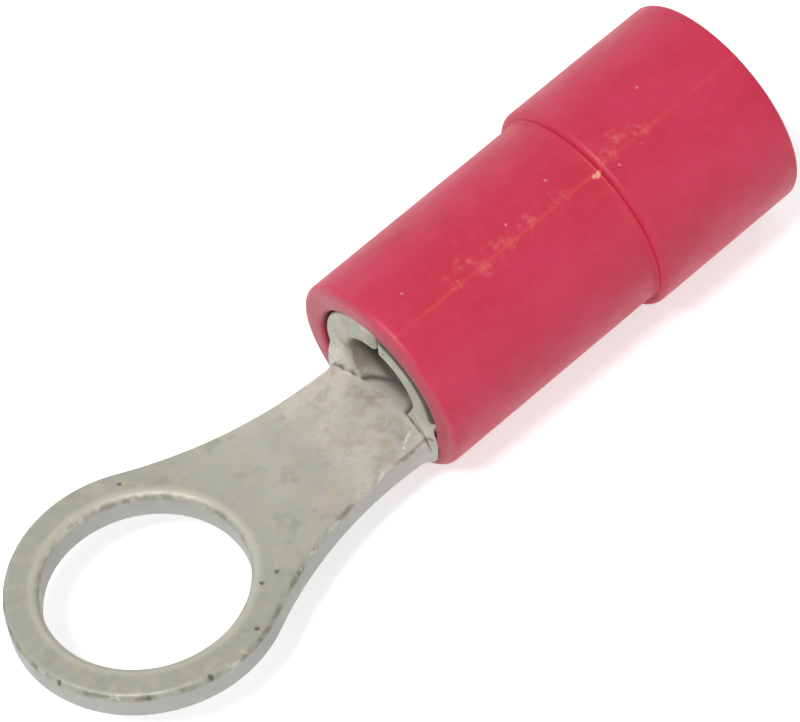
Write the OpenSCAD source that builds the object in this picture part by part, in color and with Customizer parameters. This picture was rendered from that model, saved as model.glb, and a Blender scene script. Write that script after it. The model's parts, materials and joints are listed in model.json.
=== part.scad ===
// Insulated crimp ring terminal.
// A stamped and rolled terminal of tinned copper sheet (ring tongue, neck and butted wire barrel)
// held in a moulded PVC sleeve with a wider rear section for the wire's insulation.
//
// Frame: the origin is the centre of the stud hole, on the underside of the tongue.
// +Z is the tongue's normal, on the side to which the barrel is rolled. +X runs to the wire.

/* [Ring tongue] */
// Diameter of the stud hole (clearance for an M4 stud)
stud_hole_d = 4.3; // [3.2:0.1:4.6]
// Outer diameter of the ring
ring_d = 5.8; // [5.6:0.1:8]
// Thickness of the copper sheet, in the tongue and in the barrel's wall
sheet_t = 0.7; // [0.5:0.05:0.9]
// Radius of the soft edge that stamping and tinning leave all round the sheet
edge_r = 0.12; // [0.04:0.02:0.2]
// Radius of the same edge round the top of the stud hole, where the punch drew it in
hole_edge_r = 0.2; // [0.04:0.02:0.3]

/* [Neck] */
// Width of the neck at its narrowest
neck_w = 2.95; // [2.4:0.05:3.2]
// Radius of the hollow sides that blend the ring into the neck
waist_r = 9.5; // [6:0.5:14]
// Length of parallel neck between the waist and the barrel
neck_l = 0.65; // [0.6:0.05:3]
// Length over which the flat sheet curls up into the barrel
curl_l = 1.6; // [1.2:0.1:2.4]
// Radius of the corner between the neck's edge and the front edge of the barrel
root_r = 0.45; // [0.2:0.05:0.5]
// Height of the tongue's underside above the barrel's underside, where they join
tongue_rise = 0.3; // [0:0.05:0.6]
// Angle in degrees at which the barrel rises from the tongue's plane towards its rear end
barrel_rise = 4; // [0:0.5:8]

/* [Wire barrel] */
// Diameter of the wire bore
wire_bore_d = 1.9; // [1.6:0.1:2.4]
// Length of the barrel
barrel_l = 5; // [4:0.1:5.4]
// Width of the gap left at the butted seam
seam_gap = 0.08; // [0.04:0.02:0.2]
// Radius to which the sheet's edges are rounded along the seam
seam_r = 0.2; // [0.1:0.05:0.3]
// Angle in degrees of the seam from the top of the barrel, towards -Y
seam_angle = 8; // [-20:2:20]

/* [Insulating sleeve] */
// Wall of the front section, round the barrel
sleeve_wall = 0.62; // [0.5:0.02:0.9]
// Length of the front section
front_l = 5.75; // [5:0.05:7]
// Height of the step up to the rear section
step_h = 0.2; // [0.1:0.05:0.6]
// Length of the rear section
rear_l = 3.9; // [3.4:0.1:6]
// Radial clearance between the barrel and the sleeve
barrel_fit = 0.03; // [0.01:0.01:0.06]
// How far the barrel's front lies behind the front face of the sleeve
barrel_inset = 0.05; // [0:0.05:0.1]
// Diameter of the entry bore for the insulated wire
entry_d = 3.9; // [3:0.1:4.2]
// Length of the funnel that guides the strands from the entry bore to the wire bore
funnel_l = 1.1; // [0.6:0.1:1.6]
// Width of the shoulder that the barrel's rear end rests on
seat_w = 0.55; // [0.3:0.05:0.6]
// Edge radius of the front rim
front_round = 0.2; // [0.1:0.05:0.3]
// Edge radius of the mouth in the front face
mouth_round = 0.17; // [0.05:0.01:0.18]
// Edge radius of the step between the two sections
step_round = 0.14; // [0.04:0.02:0.2]
// Fillet radius at the foot of the step
foot_round = 0.05; // [0.02:0.01:0.06]
// Edge radius of the rear rim, outside
rear_round = 0.1; // [0.06:0.02:0.26]
// Edge radius of the rear rim, inside
entry_round = 0.12; // [0.04:0.02:0.14]

/* [Hidden] */
$fn = 96;

tin = [0.71, 0.70, 0.66];
red = [0.80, 0.17, 0.29];

ring_r = ring_d / 2;
barrel_ri = wire_bore_d / 2;
barrel_rm = barrel_ri + sheet_t / 2;
barrel_ro = barrel_ri + sheet_t;

// Each hollow side of the neck is a circle that touches the ring's circle from outside.
waist_y = neck_w / 2 + waist_r;
waist_x = sqrt(pow(ring_r + waist_r, 2) - pow(waist_y, 2));
barrel_x = waist_x + neck_l;
axis_z = barrel_ro - tongue_rise;
curl_x = barrel_x - curl_l;

sleeve_l = front_l + rear_l;
sleeve_ri = barrel_ro + barrel_fit;
front_r = sleeve_ri + sleeve_wall;
rear_r = front_r + step_h;
entry_r = entry_d / 2;
seat_x = barrel_inset + barrel_l + barrel_fit;
step_r = min(step_round, 0.7 * step_h);
foot_r = min(foot_round, 0.25 * step_h);

EPS = 0.01;          // overshoot of a cut past the face that it opens
BITE = edge_r + 0.1; // how far the curl runs on into the neck and into the barrel's wall
TUCK = 0.03;         // how far it lies under their surfaces there
SEAT = 0.005;        // how far it lies under the neck's surfaces where it leaves the neck
CURL_STEPS = 7;      // stations along the curl
ROOT_STEPS = 4;      // stations round the root corner
FACE_STEPS = 12;     // steps across each face of the strip
EDGE_STEPS = 2;      // steps round each soft edge of the strip

// ---- Helpers -------------------------------------------------------------------------------

// Puts its children in the barrel's frame: origin at the centre of its front end, +X along it.
module at_barrel() {
    translate([barrel_x, 0, axis_z]) rotate([0, -barrel_rise, 0]) children();
}

// Turns a half section, drawn as [distance along the axis, radius], about the X axis.
module turned() {
    rotate([0, 90, 0]) rotate([0, 0, 180]) rotate_extrude() mirror([1, -1]) children();
}

// The sliver between a square corner at the origin and an arc of radius r in its +X +Y side.
module sliver(r) {
    difference() {
        translate([-EPS, -EPS]) square(r + EPS);
        translate([r, r]) circle(r);
    }
}

// The same at [x, y], on the given sides (1 or -1) of it. Cut off, it rounds an outer corner.
// Added, it fills an inner one.
module corner(x, y, side_x, side_y, r) {
    translate([x, y]) mirror([side_x < 0 ? 1 : 0, 0]) mirror([0, side_y < 0 ? 1 : 0]) sliver(r);
}

// ---- Terminal: tongue ----------------------------------------------------------------------

// A disc of sheet with a soft edge.
module soft_disc(r) {
    rotate_extrude() difference() {
        square([r, sheet_t]);
        corner(r, 0, -1, 1, edge_r);
        corner(r, sheet_t, -1, -1, edge_r);
    }
}

// The tool that cuts the sheet to a circle of radius r and leaves its edge soft.
module soft_cutter(r, top_edge_r = edge_r) {
    rotate_extrude() {
        translate([0, -EPS]) square([r, sheet_t + 2 * EPS]);
        corner(r, 0, 1, 1, edge_r);
        corner(r, sheet_t, 1, -1, top_edge_r);
    }
}

// The neck as far as the curl. The lines from the ring's centre to the centres of the two
// hollow sides pass through the points where the outlines touch.
module neck() {
    difference() {
        linear_extrude(sheet_t) intersection() {
            polygon([[0, 0], [waist_x, -waist_y], [waist_x, waist_y]]);
            translate([0, -ring_r]) square([curl_x, ring_d]);
        }
        for (side = [-1, 1]) translate([waist_x, side * waist_y]) soft_cutter(waist_r);
    }
}

// ---- Terminal: curl from the flat neck to the round barrel ----------------------------------

function ease(u) = u * u * (3 - 2 * u);
function blend(a, b, u) = a + (b - a) * u;

// Outline of the flat strip of half width w and half thickness h, as [across, up] points.
function strip_corner(w, h, from) = [for (i = [0:EDGE_STEPS])
    let (a = from + 90 * i / EDGE_STEPS)
    [sign(cos(from + 45)) * (w - edge_r) + edge_r * cos(a),
     sign(sin(from + 45)) * (h - edge_r) + edge_r * sin(a)]];
function strip_face(w, h, side) = [for (i = [1:FACE_STEPS - 1])
    [side * (w - edge_r) * (1 - 2 * i / FACE_STEPS), side * h]];
function strip(w, h) = concat(
    strip_corner(w, h, 0), strip_face(w, h, 1), strip_corner(w, h, 90),
    strip_corner(w, h, 180), strip_face(w, h, -1), strip_corner(w, h, 270));

// Rolls a strip point round a tube whose middle surface has the curvature c.
function rolled(p, c) = c == 0 ? p :
    let (a = p[0] * c * 180 / PI) [(1 / c - p[1]) * sin(a), 1 / c - (1 / c - p[1]) * cos(a)];

// Half width of the neck at a distance along the curl, with the root corner of the barrel.
function waist_half(x) = waist_y - sqrt(pow(waist_r, 2) - pow(max(waist_x - x, 0), 2));
function root_flare(left) = left >= root_r ? 0 : root_r - sqrt(pow(root_r, 2) - pow(root_r - left, 2));

// Share of the barrel's curvature that the sheet has reached: little at first, then quickly.
function roll(u) = pow(u, 4);

// Height of the sheet's middle along the curl: flat at the neck, at the barrel's slope there.
function path_z(u, end_z) =
    blend(sheet_t / 2, end_z, ease(u)) - curl_l * tan(barrel_rise) * u * u * (1 - u);

// One ring of the curl, at a distance along it from 0 to curl_l. It lies under the surfaces
// that it joins by a tuck, and a run-on carries it past either end into what it joins.
function station(along, tuck, run_on = 0) =
    let (u = along / curl_l,
         rise = barrel_rise * ease(u),
         end = [barrel_x + barrel_rm * sin(barrel_rise), axis_z - barrel_rm * cos(barrel_rise)],
         x = blend(curl_x, end[0], u) + run_on * cos(rise),
         z = path_z(u, end[1]) + run_on * sin(rise),
         half = waist_half(curl_x + along) + root_flare(curl_l - along))
    [for (p = strip(half - tuck, sheet_t / 2 - tuck))
        let (q = rolled(p, roll(u) / barrel_rm))
        [x - q[1] * sin(rise), q[0], z + q[1] * cos(rise)]];

// A closed skin over rings of equal length. Each ring runs round a strip from the middle of
// one edge, so that points i and n - 1 - i face each other across it, and close its ends.
module loft(rings) {
    n = len(rings[0]);
    last = len(rings) - 1;
    polyhedron(
        [for (ring = rings) each ring],
        concat(
            [for (i = [0:n / 2 - 2]) [i, i + 1, n - 2 - i, n - 1 - i]],
            [for (k = [0:last - 1], i = [0:n - 1])
                let (a = k * n + i, b = k * n + (i + 1) % n) [a, a + n, b + n, b]],
            [for (i = [0:n / 2 - 2]) [for (j = [n - 1 - i, n - 2 - i, i + 1, i]) last * n + j]]));
}

module curl() {
    straight = [for (i = [0:CURL_STEPS]) (curl_l - root_r) * i / CURL_STEPS];
    corner = [for (i = [1:ROOT_STEPS]) curl_l - root_r * (1 - sin(90 * i / ROOT_STEPS))];
    loft(concat(
        [station(0, TUCK, -BITE)],
        [for (along = concat(straight, corner)) station(along, blend(SEAT, TUCK, along / curl_l))],
        [station(curl_l, TUCK, BITE)]));
}

// ---- Terminal: barrel ----------------------------------------------------------------------

module barrel() {
    difference() {
        turned() difference() {
            translate([0, barrel_ri]) square([barrel_l, sheet_t]);
            corner(barrel_l, barrel_ri, -1, 1, edge_r);
            corner(barrel_l, barrel_ro, -1, -1, edge_r);
        }
        rotate([seam_angle, 0, 0]) seam();
    }
}

// The slit along the top of the barrel, with the sheet's edges rounded into it from outside.
module seam() {
    translate([-EPS, 0, 0]) rotate([90, 0, 90]) linear_extrude(barrel_l + 2 * EPS) {
        translate([-seam_gap / 2, 0]) square([seam_gap, barrel_ro + EPS]);
        for (side = [-1, 1]) corner(side * seam_gap / 2, barrel_ro, side, -1, seam_r);
    }
}

module terminal() {
    color(tin) difference() {
        union() {
            soft_disc(ring_r);
            neck();
            curl();
            at_barrel() barrel();
        }
        soft_cutter(stud_hole_d / 2, hole_edge_r);
    }
}

// ---- Insulating sleeve ---------------------------------------------------------------------

module insulating_sleeve() {
    color(red) at_barrel() translate([-barrel_inset, 0, 0]) turned() difference() {
        sleeve_outside();
        sleeve_inside();
    }
}

module sleeve_outside() {
    difference() {
        union() {
            square([sleeve_l, front_r]);
            translate([front_l, 0]) square([rear_l, rear_r]);
            corner(front_l, front_r, -1, 1, foot_r);
        }
        corner(0, front_r, 1, -1, front_round);
        corner(front_l, rear_r, 1, -1, step_r);
        corner(sleeve_l, rear_r, -1, -1, rear_round);
    }
}

module sleeve_inside() {
    funnel_x = seat_x + funnel_l;
    seat_r = sleeve_ri - seat_w;
    translate([-EPS, 0]) square([seat_x + EPS, sleeve_ri]);
    polygon([[seat_x - EPS, 0], [seat_x - EPS, seat_r], [seat_x, seat_r],
        [funnel_x, entry_r], [funnel_x + EPS, entry_r], [funnel_x + EPS, 0]]);
    translate([funnel_x, 0]) square([sleeve_l - funnel_x + EPS, entry_r]);
    corner(0, sleeve_ri, 1, 1, mouth_round);
    corner(sleeve_l, entry_r, -1, 1, entry_round);
}

terminal();
insulating_sleeve();
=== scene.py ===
"""Looks of the insulated ring terminal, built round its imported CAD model.

Two pieces stand for the two CAD solids: the stamped and rolled sheet, and its moulded sleeve.
Lengths are in millimetres, unless a comment says metres.
"""
import json
import math

import bmesh
import bpy
from mathutils import Matrix, Vector


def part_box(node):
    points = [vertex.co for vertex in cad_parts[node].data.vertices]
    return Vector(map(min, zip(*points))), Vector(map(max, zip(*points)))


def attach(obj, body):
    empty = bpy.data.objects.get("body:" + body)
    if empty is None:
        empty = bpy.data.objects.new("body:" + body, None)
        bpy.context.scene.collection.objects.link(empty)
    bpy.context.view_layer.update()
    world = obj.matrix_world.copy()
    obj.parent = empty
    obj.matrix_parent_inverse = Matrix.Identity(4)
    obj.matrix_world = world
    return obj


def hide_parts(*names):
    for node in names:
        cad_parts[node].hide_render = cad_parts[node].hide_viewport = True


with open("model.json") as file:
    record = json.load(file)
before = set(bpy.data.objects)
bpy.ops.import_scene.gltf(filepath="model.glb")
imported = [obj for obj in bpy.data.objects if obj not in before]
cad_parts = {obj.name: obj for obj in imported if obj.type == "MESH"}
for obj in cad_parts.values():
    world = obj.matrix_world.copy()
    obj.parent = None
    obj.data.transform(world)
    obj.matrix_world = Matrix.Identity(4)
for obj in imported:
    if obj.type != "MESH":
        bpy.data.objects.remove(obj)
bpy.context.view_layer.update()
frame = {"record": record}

# ---- Sizes, in millimetres, in the terminal's own frame -------------------------------------

MM = 0.001
MOUNTS = {m["name"]: m for m in frame["record"]["mounts"]}


def round_mount(name):
    """Middle, axis, radius and length of a round mount."""
    m = MOUNTS[name]
    return Vector(m["pos_m"]) / MM, Vector(m["axis"]), m["dims"]["r_mm"], m["dims"]["length_mm"]


_, _, HOLE_R, SHEET_T = round_mount("stud_hole")
BARREL_MID, BARREL_AXIS, BORE_R, BARREL_L = round_mount("wire_barrel")
_, _, ENTRY_R, _ = round_mount("insulation_entry")
BARREL_FRONT = BARREL_MID - BARREL_AXIS * BARREL_L / 2
RISE = math.atan2(BARREL_AXIS.z, BARREL_AXIS.x)
RING_R = -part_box("terminal")[0][0] / MM
BARREL_RM = BORE_R + SHEET_T / 2
BARREL_RO = BORE_R + SHEET_T

NECK_W = 2.95
WAIST_R = 9.5                       # of the curve from the ring into the neck
CURL_L = 1.6                        # over which the flat neck rolls into the barrel
ROLL_POWER = 13                     # keeps the neck flat for long, so it closes late
LEAST_BEND = 1e-5                   # keeps the radius of the nearly flat neck finite
ROOT_R = 0.45                       # fillet where each wing of the barrel starts
FLOOR_SINK = 0.4                    # of the flat floor, until it is under the round barrel
FLOOR_L, FLOOR_LEAD = 1.1, 0.1      # over which it sinks, starting just before the barrel
FOLD_W, LEAST_W = 0.08, 1e-6        # of the fold between the floor and the wings
FOLD_FROM, FOLD_OVER = 0.4, 0.3     # the fold widens over this part of the curl
SEAM_GAP = 0.08
SEAM_TURN = math.radians(8)         # of the seam, from the top towards -Y
EDGE_R = 0.12                       # soft edge of the sheet
SHEET_EDGE_R = {1: EDGE_R, -1: EDGE_R}      # the same, on top (1) and below (-1)
HOLE_EDGE_R = {1: 0.16, -1: 0.1}    # soft edge of the stud hole, on top and below

WAIST_Y = NECK_W / 2 + WAIST_R
WAIST_X = math.sqrt((RING_R + WAIST_R) ** 2 - WAIST_Y ** 2)
CURL_X = BARREL_FRONT.x - CURL_L
BARREL_REAR_X = BARREL_FRONT.x + BARREL_L
WING = math.pi * BARREL_RM - SEAM_GAP / 2   # half width of the flat blank at the barrel
# The middle of the sheet's thickness, at the bottom of the barrel's mouth.
BOTTOM_X = BARREL_FRONT.x + BARREL_RM * math.sin(RISE)
BOTTOM_Z = BARREL_FRONT.z - BARREL_RM * math.cos(RISE)

SLEEVE_INSET = 0.05                 # of the barrel, behind the sleeve's front face
FRONT_L, REAR_L = 5.75, 3.9
SLEEVE_FIT = 0.03
SLEEVE_RI = BARREL_RO + SLEEVE_FIT
SLEEVE_WALL = 0.62
STEP_H = 0.2
FRONT_R = SLEEVE_RI + SLEEVE_WALL
REAR_R = FRONT_R + STEP_H
SEAT_W = 0.55                       # of the seat that stops the barrel
SEAT_X = SLEEVE_INSET + BARREL_L + SLEEVE_FIT
SEAT_R = SLEEVE_RI - SEAT_W
FUNNEL_L = 1.1
TURNS = 256                         # facets round the sleeve
PARTING_ANGLE = math.radians(24)    # of the mould line, from the top towards -Y
RIDGE_H = 0.012                     # height of the mould line
OUTSIDE_R = FRONT_R - 0.05          # beyond it a point is on the outside, where the line shows

# From the barrel's frame, with the sleeve's front face at its origin, to the terminal's.
BARREL_PLACE = (Matrix.Translation(BARREL_FRONT) @ Matrix.Rotation(-RISE, 4, "Y")
                @ Matrix.Translation((-SLEEVE_INSET, 0, 0)))


# ---- Small helpers --------------------------------------------------------------------------

def blend(a, b, u):
    """From a at u = 0 to b at u = 1."""
    return a + (b - a) * u


def ease(u):
    """From 0 to 1 with a soft start and end."""
    return u * u * (3 - 2 * u)


def limit(u):
    """u, kept between 0 and 1."""
    return min(max(u, 0), 1)


def higher(a, b, width):
    """The higher of two heights, with a soft change over the width."""
    h = max(width - abs(a - b), 0) / width
    return max(a, b) + h * h * width / 4


def span(a, b, n):
    """n + 1 values from a to b."""
    return [blend(a, b, i / n) for i in range(n + 1)]


def arc(cx, cy, r, start, end, n):
    """n + 1 points on an arc, with its angles in degrees."""
    return [(cx + r * math.cos(a), cy + r * math.sin(a))
            for a in (math.radians(d) for d in span(start, end, n))]


MERGE_DIST = 1e-5                   # points nearer than this become one


def mesh_object(name, verts, faces, painted_shade=None):
    """A closed, smooth mesh object from points in millimetres, with the painted shade at each
    point.
    """
    bm = bmesh.new()
    layer = bm.verts.layers.float.new("painted_shade")
    points = [bm.verts.new(v) for v in verts]
    for point, value in zip(points, painted_shade or []):
        point[layer] = value
    for f in faces:
        bm.faces.new([points[i] for i in f])
    bmesh.ops.remove_doubles(bm, verts=bm.verts, dist=MERGE_DIST)
    bmesh.ops.recalc_face_normals(bm, faces=bm.faces)
    bmesh.ops.scale(bm, vec=(MM, MM, MM), verts=bm.verts)
    mesh = bpy.data.meshes.new(name)
    bm.to_mesh(mesh)
    bm.free()
    mesh.shade_smooth()
    obj = bpy.data.objects.new(name, mesh)
    bpy.context.scene.collection.objects.link(obj)
    weighted = obj.modifiers.new("even_normals", "WEIGHTED_NORMAL")
    weighted.keep_sharp = True
    return obj


# ---- Terminal: the flat blank, and how it is rolled --------------------------------------------
# The blank is laid out flat, with x along the terminal, y across it and "up" through the sheet,
# and every point is then rolled into place. The floor of the neck stays flat until it sinks into
# the barrel. The two wings fold up from it.

COLUMNS = 48        # across the neck
RING_STEPS = 12     # from the hole to the ring's outside
EDGE_STEPS = 5      # round each soft edge
RING_N, WAIST_N, NECK_N, ROOT_N, WING_N = 72, 40, 4, 12, 24     # along the outline
MOUTH_L, MOUTH_N, BARREL_N = 1, 20, 24      # the first millimetre of the barrel has finer rows
STRIP_X = 0.55 * WAIST_X            # where rows round the ring give way to rows across the neck

ROOT_X, ROOT_Y = BARREL_FRONT.x - ROOT_R, NECK_W / 2 + ROOT_R
FRONT_X, REAR_X, WING_Y = BARREL_FRONT.x + EDGE_R, BARREL_REAR_X - EDGE_R, WING - EDGE_R
FINE_X = FRONT_X + MOUTH_L
BARREL_XS = span(FRONT_X, FINE_X, MOUTH_N) + span(FINE_X, REAR_X, BARREL_N)[1:]
WING_YS = span(ROOT_Y, WING_Y, WING_N)[1:]
HALF_YS = span(0, ROOT_Y, COLUMNS // 2) + WING_YS

# Painted shade: the sheet is darkened beside the fold, in the gap round the near wing and deep in
# the bore.
CREASE_U = 0.6                      # part of the curl where the fold's painted shade starts
CREASE_W, CREASE_FADE = 0.12, 0.1   # how far from the fold it reaches, and over which it fades
GAP_X, GAP_Y = BARREL_FRONT.x - 0.001, -1.9     # the near wing lies beyond these
GAP_UP, GAP_FADE = -0.11, 0.1       # how low in the sheet the gap starts
GAP_ROW = -0.1                      # the rim has a row of points just above the gap
BORE_UP = 0.2                       # the bore's own face lies above this
BORE_FROM, BORE_FADE = 0.22, 0.28   # how far past the barrel's mouth it starts


def painted_shade_at(x, y, up, u, off_fold):
    """Painted shade from 0 to 1. u is the part of the curl, off_fold the distance from the fold.
    """
    in_crease = in_gap = in_bore = 0
    # Painted shade in the concave fold where the wings rise from the floor.
    if up > 0 and u > CREASE_U:
        in_crease = limit((CREASE_W - off_fold) / CREASE_FADE)
    # Painted shade in the gap between the near wing and the sleeve.
    if x > GAP_X and y < GAP_Y:
        in_gap = limit((GAP_UP - up) / GAP_FADE)
    # Painted shade deep in the bore, starting just past its mouth.
    if up > BORE_UP:
        in_bore = limit((x - BARREL_FRONT.x - BORE_FROM) / BORE_FADE)
    return max(in_crease, in_gap, in_bore)


def rolled(x, y, up):
    """Where a point of the flat blank lies once the barrel is rolled, and its painted shade."""
    flat_z = SHEET_T / 2 + up
    u = limit((x - CURL_X) / CURL_L)
    if u == 0:
        return Vector((x, y, flat_z)), 0
    # The line that the sheet's middle follows, from the neck to the rear of the barrel.
    bend, s = max(u ** ROLL_POWER, LEAST_BEND), ease(u)
    beyond = max(x - BARREL_FRONT.x, 0)
    mid_x = blend(CURL_X, BOTTOM_X, u) + beyond * math.cos(RISE)
    mid_z = blend(SHEET_T / 2, BOTTOM_Z, s) - CURL_L * math.tan(RISE) * u * u * (1 - u)
    mid_z += beyond * math.sin(RISE)
    # The curl across that line, turned so that the seam is off the top.
    y += SEAM_TURN * BARREL_RM * bend * ease(abs(y) / WING)
    r, rise = BARREL_RM / bend, RISE * s
    across = (r - up) * math.sin(y / r)
    lift = r - (r - up) * math.cos(y / r)
    round_z = mid_z + lift * math.cos(rise)
    # The flat floor, and the soft fold where the curl rises out of it.
    floor_z = flat_z - FLOOR_SINK * ease(limit((x - BARREL_FRONT.x + FLOOR_LEAD) / FLOOR_L))
    width = FOLD_W * limit((u - FOLD_FROM) / FOLD_OVER) + LEAST_W
    place = Vector((mid_x - lift * math.sin(rise), across, higher(round_z, floor_z, width)))
    return place, painted_shade_at(x, y, up, u, abs(round_z - floor_z))


def edge_sample(x, y, nx, ny, r=SHEET_EDGE_R):
    """A point of the outline, its outward normal, and the edge radius on top and below."""
    return Vector((x, y)), Vector((nx, ny)), r


def arc_samples(cx, cy, r, start, end, n, side):
    """Outline samples on an arc. Side 1 has the sheet inside the arc, side -1 outside it."""
    return [edge_sample(cx + r * math.cos(a), cy + r * math.sin(a),
                        side * math.cos(a), side * math.sin(a)) for a in span(start, end, n)]


def inner(s, side):
    """Where the flat face begins, behind an outline sample."""
    point, normal, r = s
    return point - normal * r[side]


class Skin:
    """Collects the rows of points and the faces of the terminal."""

    def __init__(self):
        self.verts = []
        self.painted_shade = []
        self.faces = []

    def row(self, points):
        """Rolls a row of points into place, and returns their numbers."""
        start = len(self.verts)
        for p in points:
            place, painted_shade = rolled(*p)
            self.verts.append(place)
            self.painted_shade.append(painted_shade)
        return range(start, len(self.verts))

    def join(self, rows, closed=False):
        """Faces between each row and the next."""
        for a, b in zip(rows, rows[1:]):
            n = len(a)
            for i in range(n if closed else n - 1):
                j = (i + 1) % n
                self.faces.append((a[i], a[j], b[j], b[i]))

    def rim(self, samples):
        """The sheet's edge along a closed run of samples, from the top face to the underside."""
        rows = []
        for side in (1, -1):
            for a in span(0, math.pi / 2, EDGE_STEPS)[::side]:
                points = []
                for point, normal, r in samples:
                    p = point - normal * r[side] * (1 - math.sin(a))
                    points.append((p.x, p.y, side * (SHEET_T / 2 - r[side] * (1 - math.cos(a)))))
                rows.append(self.row(points))
            if side == 1:
                rows.append(self.row([(point.x, point.y, GAP_ROW) for point, _, _ in samples]))
        self.join(rows, closed=True)


def both_halves(points):
    """Closes a run that starts and ends on the centre line with its mirror image."""
    return points + [Vector((p.x, -p.y)) for p in points[-2:0:-1]]


def half_outline():
    """The blank's outline on the +Y side: round the ring, the waist, the neck, the barrel."""
    touch = math.atan2(WAIST_Y, WAIST_X)
    ring = arc_samples(0, 0, RING_R, math.pi, touch, RING_N, 1)
    waist = arc_samples(WAIST_X, WAIST_Y, WAIST_R, math.pi + touch, 1.5 * math.pi, WAIST_N, -1)
    neck = [edge_sample(x, NECK_W / 2, 0, 1) for x in span(WAIST_X, ROOT_X, NECK_N)[1:]]
    neck += arc_samples(ROOT_X, ROOT_Y, ROOT_R, -math.pi / 2, 0, ROOT_N, -1)[1:]
    barrel = [edge_sample(BARREL_FRONT.x, y, -1, 0) for y in WING_YS]
    barrel += arc_samples(FRONT_X, WING_Y, EDGE_R, math.pi, math.pi / 2, EDGE_STEPS, 1)[1:]
    barrel += [edge_sample(x, WING, 0, 1) for x in BARREL_XS[1:]]
    barrel += arc_samples(REAR_X, WING_Y, EDGE_R, math.pi / 2, 0, EDGE_STEPS, 1)[1:]
    barrel += [edge_sample(BARREL_REAR_X, y, 1, 0) for y in HALF_YS[-2::-1]]
    return ring, waist[1:], neck, barrel


def terminal_piece():
    """The terminal as one closed skin: its rims, then its top face and its underside."""
    skin = Skin()
    ring, waist, neck, barrel = half_outline()
    outline = ring + waist + neck + barrel
    skin.rim(outline + [edge_sample(p.x, -p.y, n.x, -n.y, r) for p, n, r in outline[-2:0:-1]])

    start = next(i for i, s in enumerate(waist) if inner(s, 1).x > STRIP_X)
    for side in (1, -1):
        up = side * SHEET_T / 2
        # Across the neck and the curl.
        ends = [inner(s, side) for s in waist[start:] + neck]
        skin.join([skin.row([(p.x, y, up) for y in span(-p.y, p.y, COLUMNS)]) for p in ends])
        # Round the ring, from the hole out to the outline and to the first row of the neck.
        outside = both_halves([inner(s, side) for s in ring + waist[:start]]
                              + [Vector((ends[0].x, y)) for y in span(ends[0].y, 0, COLUMNS // 2)])
        hole_r = HOLE_R + HOLE_EDGE_R[side]
        skin.join([skin.row([(q.x, q.y, up) for q in
                             ((p.normalized() * hole_r).lerp(p, t) for p in outside)])
                   for t in span(0, 1, RING_STEPS)], closed=True)
        # Along the barrel.
        ys = [-y for y in HALF_YS[:0:-1]] + HALF_YS
        skin.join([skin.row([(x, y, up) for y in ys]) for x in BARREL_XS])
    # Down through the stud hole.
    directions = [p.normalized() for p in outside]
    skin.rim([edge_sample(HOLE_R * d.x, HOLE_R * d.y, -d.x, -d.y, HOLE_EDGE_R)
              for d in directions])
    return mesh_object("terminal_sheet", skin.verts, skin.faces, skin.painted_shade)


# ---- Sleeve --------------------------------------------------------------------------------

def sleeve_profile():
    """Closed half section, as (distance from the front face, radius)."""
    total = FRONT_L + REAR_L
    mouth, rim, foot, step, rear, entry = 0.17, 0.2, 0.05, 0.14, 0.1, 0.12     # edge radii
    return (
        arc(mouth, SLEEVE_RI + mouth, mouth, 270, 180, 6)
        + arc(rim, FRONT_R - rim, rim, 180, 90, 10)
        + [(x, FRONT_R) for x in span(rim, FRONT_L - foot, 24)[1:-1]]
        + arc(FRONT_L - foot, FRONT_R + foot, foot, 270, 360, 4)
        + arc(FRONT_L + step, REAR_R - step, step, 180, 90, 8)
        + [(x, REAR_R) for x in span(FRONT_L + step, total - rear, 16)[1:-1]]
        + arc(total - rear, REAR_R - rear, rear, 90, 0, 8)
        + arc(total - entry, ENTRY_R + entry, entry, 360, 270, 6)
        + [(SEAT_X + FUNNEL_L, ENTRY_R), (SEAT_X, SEAT_R), (SEAT_X, SLEEVE_RI)])


def sleeve_piece():
    """The profile turned round the barrel's axis, with a fine ridge along the mould line."""
    profile = sleeve_profile()
    verts, faces = [], []
    for k in range(TURNS):
        a = PARTING_ANGLE + 2 * math.pi * k / TURNS
        ridge = RIDGE_H if k in (0, TURNS // 2) else 0
        for x, r in profile:
            r += ridge if r > OUTSIDE_R else 0
            verts.append(BARREL_PLACE @ Vector((x, -r * math.sin(a), r * math.cos(a))))
    n = len(profile)
    for k in range(TURNS):
        for i in range(n):
            a, b = k * n, (k + 1) % TURNS * n
            j = (i + 1) % n
            faces.append((a + i, a + j, b + j, b + i))
    return mesh_object("sleeve_moulding", verts, faces)


# ---- Materials -----------------------------------------------------------------------------

WOBBLE_SIZE = 0.12                  # of the noise round a spot's outline
SPOT_IN, SPOT_OUT = 0.9, 1.5        # a spot fades between these parts of its radius


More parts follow.
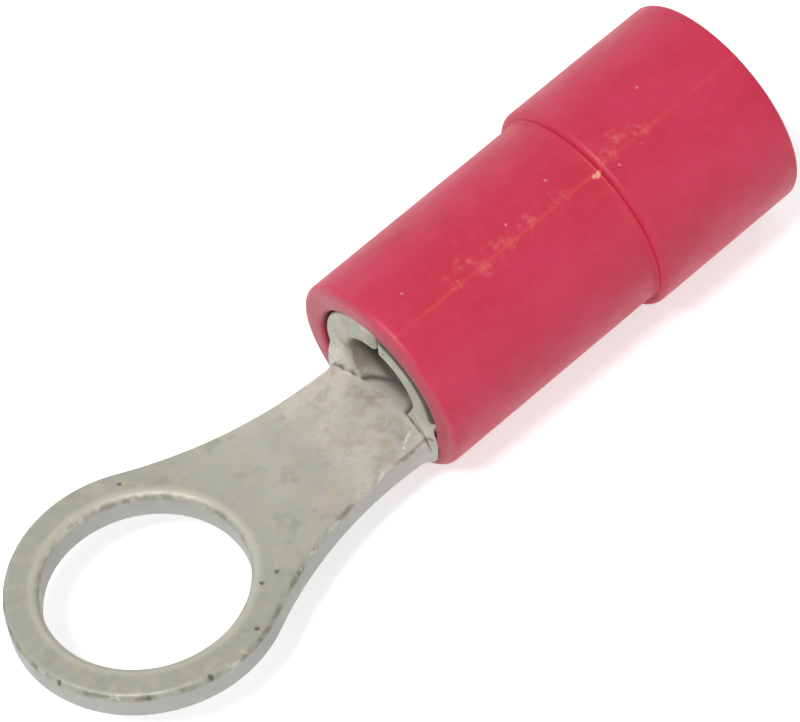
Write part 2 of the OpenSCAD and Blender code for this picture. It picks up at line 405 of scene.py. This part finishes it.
class Nodes:
    """A short way to write a node material."""

    def __init__(self, name):
        self.material = bpy.data.materials.new(name)
        self.material.use_nodes = True
        self.tree = self.material.node_tree
        self.shader = self.tree.nodes["Principled BSDF"]

    def add(self, kind, **values):
        """A node with these properties and socket values."""
        node = self.tree.nodes.new("ShaderNode" + kind)
        for key, value in values.items():
            if hasattr(node, key):
                setattr(node, key, value)
            else:
                node.inputs[key.replace("_", " ")].default_value = value
        return node

    def link(self, a, b):
        """Leads output a to input b."""
        self.tree.links.new(a, b)

    def place(self):
        """The point in the object's own frame, in metres."""
        return self.add("TexCoord").outputs["Object"]

    def math(self, operation, a, b=0):
        """One operation on a and b, each a socket or a number."""
        node = self.add("Math", operation=operation)
        for socket, value in zip(node.inputs, (a, b)):
            if isinstance(value, (int, float)):
                socket.default_value = value
            else:
                self.link(value, socket)
        return node.outputs["Value"]

    def times(self, a, b):
        """The product of a and b."""
        return self.math("MULTIPLY", a, b)

    def length(self, a, b):
        """The length of the vector (a, b)."""
        return self.math("POWER", self.math("ADD", self.times(a, a), self.times(b, b)), 0.5)

    def axes(self, matrix):
        """x, y and z in millimetres, in the frame that the matrix leads to."""
        mapping = self.add("Mapping")
        mapping.inputs["Location"].default_value = matrix.translation
        mapping.inputs["Rotation"].default_value = matrix.to_euler()
        mapping.inputs["Scale"].default_value = (1 / MM, 1 / MM, 1 / MM)
        self.link(self.place(), mapping.inputs["Vector"])
        split = self.add("SeparateXYZ")
        self.link(mapping.outputs["Vector"], split.inputs["Vector"])
        return split.outputs

    def spots(self, x, y, points, radius):
        """1 at each point and 0 beyond about the radius, with an uneven outline."""
        wobble = self.times(self.noise(WOBBLE_SIZE), radius)
        place = self.add("CombineXYZ")
        self.link(x, place.inputs["X"])
        self.link(y, place.inputs["Y"])
        found = None
        for point in points:
            away = self.add("VectorMath", operation="DISTANCE")
            self.link(place.outputs["Vector"], away.inputs[0])
            away.inputs[1].default_value = (*point, 0)
            edge = self.math("ADD", away.outputs["Value"], wobble)
            spot = self.ramp(edge, SPOT_IN * radius, SPOT_OUT * radius, 1, 0)
            found = spot if found is None else self.math("MAXIMUM", found, spot)
        return found

    def noise(self, size_mm, detail=3.0, stretch=(1, 1, 1)):
        """Noise whose features are about size_mm across."""
        mapping = self.add("Mapping")
        mapping.inputs["Scale"].default_value = [1 / (size_mm * MM * s) for s in stretch]
        self.link(self.place(), mapping.inputs["Vector"])
        noise = self.add("TexNoise", Scale=1.0, Detail=detail, Roughness=0.55)
        self.link(mapping.outputs["Vector"], noise.inputs["Vector"])
        return noise.outputs["Fac"]

    def ramp(self, fac, low, high, a, b):
        """Maps fac from low..high to a..b."""
        node = self.add("MapRange")
        for key, value in zip(("From Min", "From Max", "To Min", "To Max"), (low, high, a, b)):
            node.inputs[key].default_value = value
        self.link(fac, node.inputs["Value"])
        return node.outputs["Result"]

    def patches(self, size_mm, low, high, a, b, detail=3.0, stretch=(1, 1, 1)):
        """Noise, mapped from low..high to a..b."""
        return self.ramp(self.noise(size_mm, detail, stretch), low, high, a, b)

    def mix(self, fac, a, b):
        """Mixes two colours, each a tuple or a socket."""
        node = self.add("Mix", data_type="RGBA")
        self.link(fac, node.inputs["Factor"])
        for key, value in (("A", a), ("B", b)):
            socket = [s for s in node.inputs if s.name == key and s.type == "RGBA"][0]
            if isinstance(value, tuple):
                socket.default_value = (*value, 1)
            else:
                self.link(value, socket)
        return [s for s in node.outputs if s.type == "RGBA"][0]

    def bump(self, height, distance_mm, strength=1.0, under=None):
        """A normal bent by the height, on top of the bump under it."""
        node = self.add("Bump", Strength=strength, Distance=distance_mm * MM)
        self.link(height, node.inputs["Height"])
        if under is not None:
            self.link(under, node.inputs["Normal"])
        return node.outputs["Normal"]


# Mottling of the tin: size in mm, detail, stretch, low and high noise, strength, colour.
EVEN, LENGTHWISE = (1, 1, 1), (6, 1, 1)
MOTTLING = (
    (1.3, 3, EVEN, 0.42, 0.64, 0.6, (0.36, 0.37, 0.33)),
    (0.6, 4, EVEN, 0.54, 0.72, 0.6, (0.50, 0.42, 0.35)),
    (0.3, 5, EVEN, 0.48, 0.68, 0.55, (0.45, 0.41, 0.29)),
    (0.45, 5, EVEN, 0.56, 0.7, 0.5, (0.27, 0.28, 0.25)),
    (0.06, 3, LENGTHWISE, 0.58, 0.78, 0.25, (0.24, 0.24, 0.21)),
)
# Marks on the tin, as (x, y) in millimetres.
PITS = ((2.0, -1.8), (1.6, -1.8), (0.8, -2.6), (1.2, 2.25), (-2.8, -0.7), (-1.8, -2.3),
        (-0.6, -2.8))
# Points of a painted highlight streak along the neck's -Y edge.
HIGHLIGHT_POINTS = [(5.85 + 0.05 * i, -1.29 + 0.03 * i) for i in range(8)]
STAINS = ((6.6, 0.8), (6.3, 0.1), (5.2, -0.5), (4.4, 0.9))


def tin_material():
    """Dull tin plate, mottled, pitted and stained, with a worn hole rim, painted highlights on its
    edges and in a streak, painted light on the barrel's floor, and painted shade in its fold,
    round the near wing and deep in the bore.
    """
    n = Nodes("tin_plate")
    x, y, z = n.axes(Matrix.Identity(4))
    on_top = n.ramp(z, SHEET_T - 0.2, SHEET_T - 0.1, 0, 1)
    # The plate, dark on the ring and pale at the barrel, and greyer below. The change from ring to
    # barrel is partly the plate's own tone and partly painted light against the sleeve's shade on
    # the neck.
    colour = n.mix(n.ramp(x, 1.5, 6.2, 0, 1), (0.34, 0.34, 0.285), (0.62, 0.60, 0.53))
    for size, detail, stretch, low, high, strength, patch in MOTTLING:
        colour = n.mix(n.patches(size, low, high, 0, strength, detail, stretch), colour, patch)
    colour = n.mix(n.math("SUBTRACT", 0.7, n.times(on_top, 0.7)), colour, (0.42, 0.43, 0.42))
    # The soft edge round the top face, darkened in some places, and in others lightened as painted
    # highlights.
    edge = n.times(on_top, n.ramp(z, SHEET_T - 0.05, SHEET_T - 0.01, 1, 0))
    dark = n.times(edge, n.patches(0.5, 0.46, 0.58, 0, 0.65, 4))
    colour = n.mix(dark, colour, (0.14, 0.13, 0.10))
    edge_highlight = n.times(edge, n.patches(0.35, 0.38, 0.46, 0.45, 0))
    colour = n.mix(edge_highlight, colour, (0.72, 0.71, 0.66))
    # The rim of the stud hole made paler: partly wear on its rolled edge, partly a painted
    # highlight.
    off_rim = n.math("ABSOLUTE", n.math("SUBTRACT", n.length(x, y), HOLE_R + 0.12))
    rim_wear_and_highlight = n.times(n.ramp(off_rim, 0.05, 0.16, 0.45, 0), on_top)
    colour = n.mix(rim_wear_and_highlight, colour, (0.56, 0.54, 0.44))
    # Painted light: the floor just inside the barrel's mouth made paler, as if lit as brightly as
    # the neck.
    painted_lit_floor = n.times(n.ramp(n.math("ABSOLUTE", y), 0.6, 0.85, 1, 0), n.ramp(z, 1.0, 1.4, 1, 0))
    in_barrel = n.ramp(x, BARREL_FRONT.x - 0.2, BARREL_FRONT.x + 0.1, 0, 1)
    colour = n.mix(n.times(in_barrel, painted_lit_floor), colour, (0.84, 0.81, 0.72))
    # Stains, pits, a painted highlight streak by the neck's -Y edge, and the painted shade.
    stain = n.times(n.spots(x, y, STAINS, 0.3), n.patches(0.2, 0.4, 0.6, 0, 0.55))
    colour = n.mix(stain, colour, (0.46, 0.33, 0.27))
    pit = n.times(n.spots(x, y, PITS, 0.06), on_top)
    colour = n.mix(n.times(pit, 0.8), colour, (0.10, 0.075, 0.05))
    # A painted highlight streak near the neck's -Y edge, where it meets the sleeve.
    painted_highlight = n.times(n.spots(x, y, HIGHLIGHT_POINTS, 0.05), n.patches(0.1, 0.4, 0.5, 0.3, 1))
    colour = n.mix(n.times(n.times(painted_highlight, on_top), 0.8), colour, (0.92, 0.92, 0.88))
    # Painted shade from the mesh's layer: darkens and roughens the fold, the gap round the near
    # wing and the deep bore.
    painted_shade = n.add("Attribute", attribute_name="painted_shade").outputs["Fac"]
    colour = n.mix(n.times(painted_shade, 0.88), colour, (0.06, 0.055, 0.045))
    n.link(colour, n.shader.inputs["Base Color"])
    n.shader.inputs["Metallic"].default_value = 0.35
    rough = n.patches(0.5, 0.3, 0.7, 0.46, 0.62)
    n.link(n.math("MAXIMUM", rough, painted_shade), n.shader.inputs["Roughness"])
    fine = n.bump(n.noise(0.08, 4), 0.004, 0.7, under=n.bump(n.noise(0.8, 2), 0.02))
    n.link(n.bump(pit, -0.03, under=fine), n.shader.inputs["Normal"])
    return n.material


# Marks on the sleeve, as (distance from the front face in mm, degrees from the top towards -Y).
SCUFFS = ((1.9, 20), (2.3, 17), (2.5, 24), (2.9, 21), (3.3, 23), (3.9, 21), (4.7, 22), (6.1, 21),
          (6.5, 18), (6.9, 23))
SPECKS = ((0.9, 8), (3.5, 15), (4.8, 10), (6.1, 29), (7.6, 5))
FLASH = ((5.6, 25), (5.66, 26), (5.7, 25))


def sleeve_material():
    """Red PVC with a mould line, scuffs and specks, a paler front face that is partly painted
    sheen, and painted shade in the mouth.
    """
    n = Nodes("red_pvc")
    x, y, z = n.axes(BARREL_PLACE.inverted())
    radius = n.length(y, z)
    across = n.times(n.math("ARCTAN2", n.times(y, -1), z), FRONT_R)

    def marks(places, size):
        """Spots of one size on the sleeve."""
        return n.spots(x, across, [(d, math.radians(turn) * FRONT_R) for d, turn in places], size)

    # The plastic, and its mould line.
    colour = n.mix(n.patches(1.5, 0.38, 0.62, 0, 1), (0.54, 0.016, 0.052), (0.58, 0.023, 0.074))
    colour = n.mix(n.patches(0.25, 0.5, 0.75, 0, 0.35, 4), colour, (0.60, 0.05, 0.07))
    off_line = n.math("ABSOLUTE", n.math("SUBTRACT", across, PARTING_ANGLE * FRONT_R))
    line = n.times(n.ramp(off_line, 0.01, 0.07, 1, 0), n.patches(0.7, 0.38, 0.6, 0.14, 0.5))
    colour = n.mix(line, colour, (0.68, 0.07, 0.045))
    # Scuffs, specks and a bit of flash.
    scuff = n.times(marks(SCUFFS, 0.27), n.patches(0.18, 0.47, 0.66, 0, 0.65, 4))
    colour = n.mix(scuff, colour, (0.72, 0.14, 0.11))
    colour = n.mix(n.times(marks(SPECKS, 0.045), 0.7), colour, (0.74, 0.25, 0.25))
    colour = n.mix(marks(FLASH, 0.06), colour, (0.82, 0.36, 0.25))
    # The front face, paler: partly its own tone and partly painted sheen. The mouth, darkened as
    # painted shade in the gap round the barrel.
    colour = n.mix(n.ramp(x, 0.02, 0.14, 0.75, 0), colour, (0.50, 0.085, 0.12))
    # Painted shade inside the sleeve's mouth, round the barrel.
    mouth = n.times(n.ramp(radius, SLEEVE_RI + 0.02, SLEEVE_RI + 0.07, 0.85, 0),
                    n.ramp(x, 0.4, 1.0, 1, 0))
    colour = n.mix(mouth, colour, (0.22, 0.008, 0.03))
    n.link(colour, n.shader.inputs["Base Color"])
    rough = n.math("ADD", n.patches(0.8, 0.3, 0.7, 0.42, 0.52), n.times(scuff, 0.3))
    n.link(rough, n.shader.inputs["Roughness"])
    n.shader.inputs["Specular IOR Level"].default_value = 0.45
    skin = n.bump(n.noise(0.1, 3), 0.003, 0.6, under=n.bump(n.noise(1.0, 2), 0.012))
    n.link(n.bump(scuff, 0.02, 0.8, under=skin), n.shader.inputs["Normal"])
    return n.material


# ---- Stage, light and camera -----------------------------------------------------------------

def seen_directly(tree):
    """1 for what the camera, a reflection or a transmission sees, else 0."""
    path = tree.nodes.new("ShaderNodeLightPath")
    seen = path.outputs["Is Camera Ray"]
    for other in ("Is Glossy Ray", "Is Transmission Ray"):
        either = tree.nodes.new("ShaderNodeMath")
        either.operation = "MAXIMUM"
        tree.links.new(seen, either.inputs[0])
        tree.links.new(path.outputs[other], either.inputs[1])
        seen = either.outputs[0]
    return seen


FLOOR_HALF = 0.4                    # half its side, in metres
FLOOR_GAP = 1e-5                    # below the sleeve, in metres
FLOOR_GLOW = 0.6                    # as the camera sees it
FRONT_FOOT, STEP_FOOT = 0.3, FRONT_L + 0.13     # where the sleeve would stand on it


def floor_piece():
    """A pale floor under the front rim and the step of the sleeve."""
    mesh = bpy.data.meshes.new("floor")
    corners = ((-1, -1), (1, -1), (1, 1), (-1, 1))
    mesh.from_pydata([(x * FLOOR_HALF, y * FLOOR_HALF, 0) for x, y in corners], [], [(0, 1, 2, 3)])
    floor = bpy.data.objects.new("floor", mesh)
    bpy.context.scene.collection.objects.link(floor)
    low_front = BARREL_PLACE @ Vector((FRONT_FOOT, 0, -FRONT_R))
    low_step = BARREL_PLACE @ Vector((STEP_FOOT, 0, -REAR_R))
    slope = math.atan2(low_step.z - low_front.z, low_step.x - low_front.x)
    floor.rotation_euler = (0, -slope, 0)
    floor.location = low_front * MM - Vector((0, 0, FLOOR_GAP))
    n = Nodes("pale_floor")
    n.shader.inputs["Base Color"].default_value = (0.80, 0.80, 0.80, 1)
    n.shader.inputs["Roughness"].default_value = 0.9
    n.shader.inputs["Specular IOR Level"].default_value = 0.0
    n.shader.inputs["Emission Color"].default_value = (1, 1, 1, 1)
    glow = n.ramp(seen_directly(n.tree), 0, 1, 0, FLOOR_GLOW)
    n.link(glow, n.shader.inputs["Emission Strength"])
    floor.data.materials.append(n.material)


ROOM_LIGHT, BACKDROP = 0.35, 1.0    # strength of the world as a light, and as it is seen


def world_light():
    """A white world, dimmer as a light on the part than behind it."""
    world = bpy.data.worlds.new("studio")
    bpy.context.scene.world = world
    world.use_nodes = True
    tree = world.node_tree
    background = tree.nodes["Background"]
    background.inputs["Color"].default_value = (1, 1, 1, 1)
    seen = seen_directly(tree)
    strength = tree.nodes.new("ShaderNodeMapRange")
    strength.inputs["To Min"].default_value = ROOM_LIGHT
    strength.inputs["To Max"].default_value = BACKDROP
    tree.links.new(seen, strength.inputs["Value"])
    tree.links.new(strength.outputs["Result"], background.inputs["Strength"])


# Name, place in metres, diameter in metres and power in watts of each lamp.
LAMPS = (
    ("key", (-0.12, -0.04, 0.24), 0.08, 0.48),
    ("fill", (0.02, 0.20, 0.12), 0.12, 0.05),
    ("edge", (0.03, -0.22, 0.07), 0.10, 0.06),
)
LAMP_AIM = Vector((0.006, 0, 0))


def soft_lamp(name, place, size, watts):
    """A round lamp that shines on the middle of the part."""
    light = bpy.data.lights.new(name, "AREA")
    light.shape = "DISK"
    light.size = size
    light.energy = watts
    lamp = bpy.data.objects.new(name, light)
    lamp.location = place
    lamp.rotation_euler = (LAMP_AIM - Vector(place)).to_track_quat("-Z", "Y").to_euler()
    bpy.context.scene.collection.objects.link(lamp)


def camera():
    """Stands where the photo was taken, fitted to the photo's outlines."""
    place = Vector((-28.46, -52.84, 76.85)) * MM
    aim = Vector((6.06, -1.40, 3.38)) * MM
    roll = math.radians(-10.02)
    data = bpy.data.cameras.new("camera")
    data.lens = 217.1
    data.clip_start = 0.005
    data.clip_end = 5
    cam = bpy.data.objects.new("camera", data)
    look = (aim - place).to_track_quat("-Z", "Y").to_matrix().to_4x4()
    cam.matrix_world = Matrix.Translation(place) @ look @ Matrix.Rotation(roll, 4, "Z")
    bpy.context.scene.collection.objects.link(cam)
    bpy.context.scene.camera = cam


# ---- Build ---------------------------------------------------------------------------------

terminal = terminal_piece()
terminal.data.materials.append(tin_material())
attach(terminal, "root")
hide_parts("terminal")

sleeve = sleeve_piece()
sleeve.data.materials.append(sleeve_material())
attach(sleeve, "root")
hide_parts("insulating_sleeve")

floor_piece()
world_light()
for lamp in LAMPS:
    soft_lamp(*lamp)
camera()
bpy.context.scene.view_settings.view_transform = "Standard"
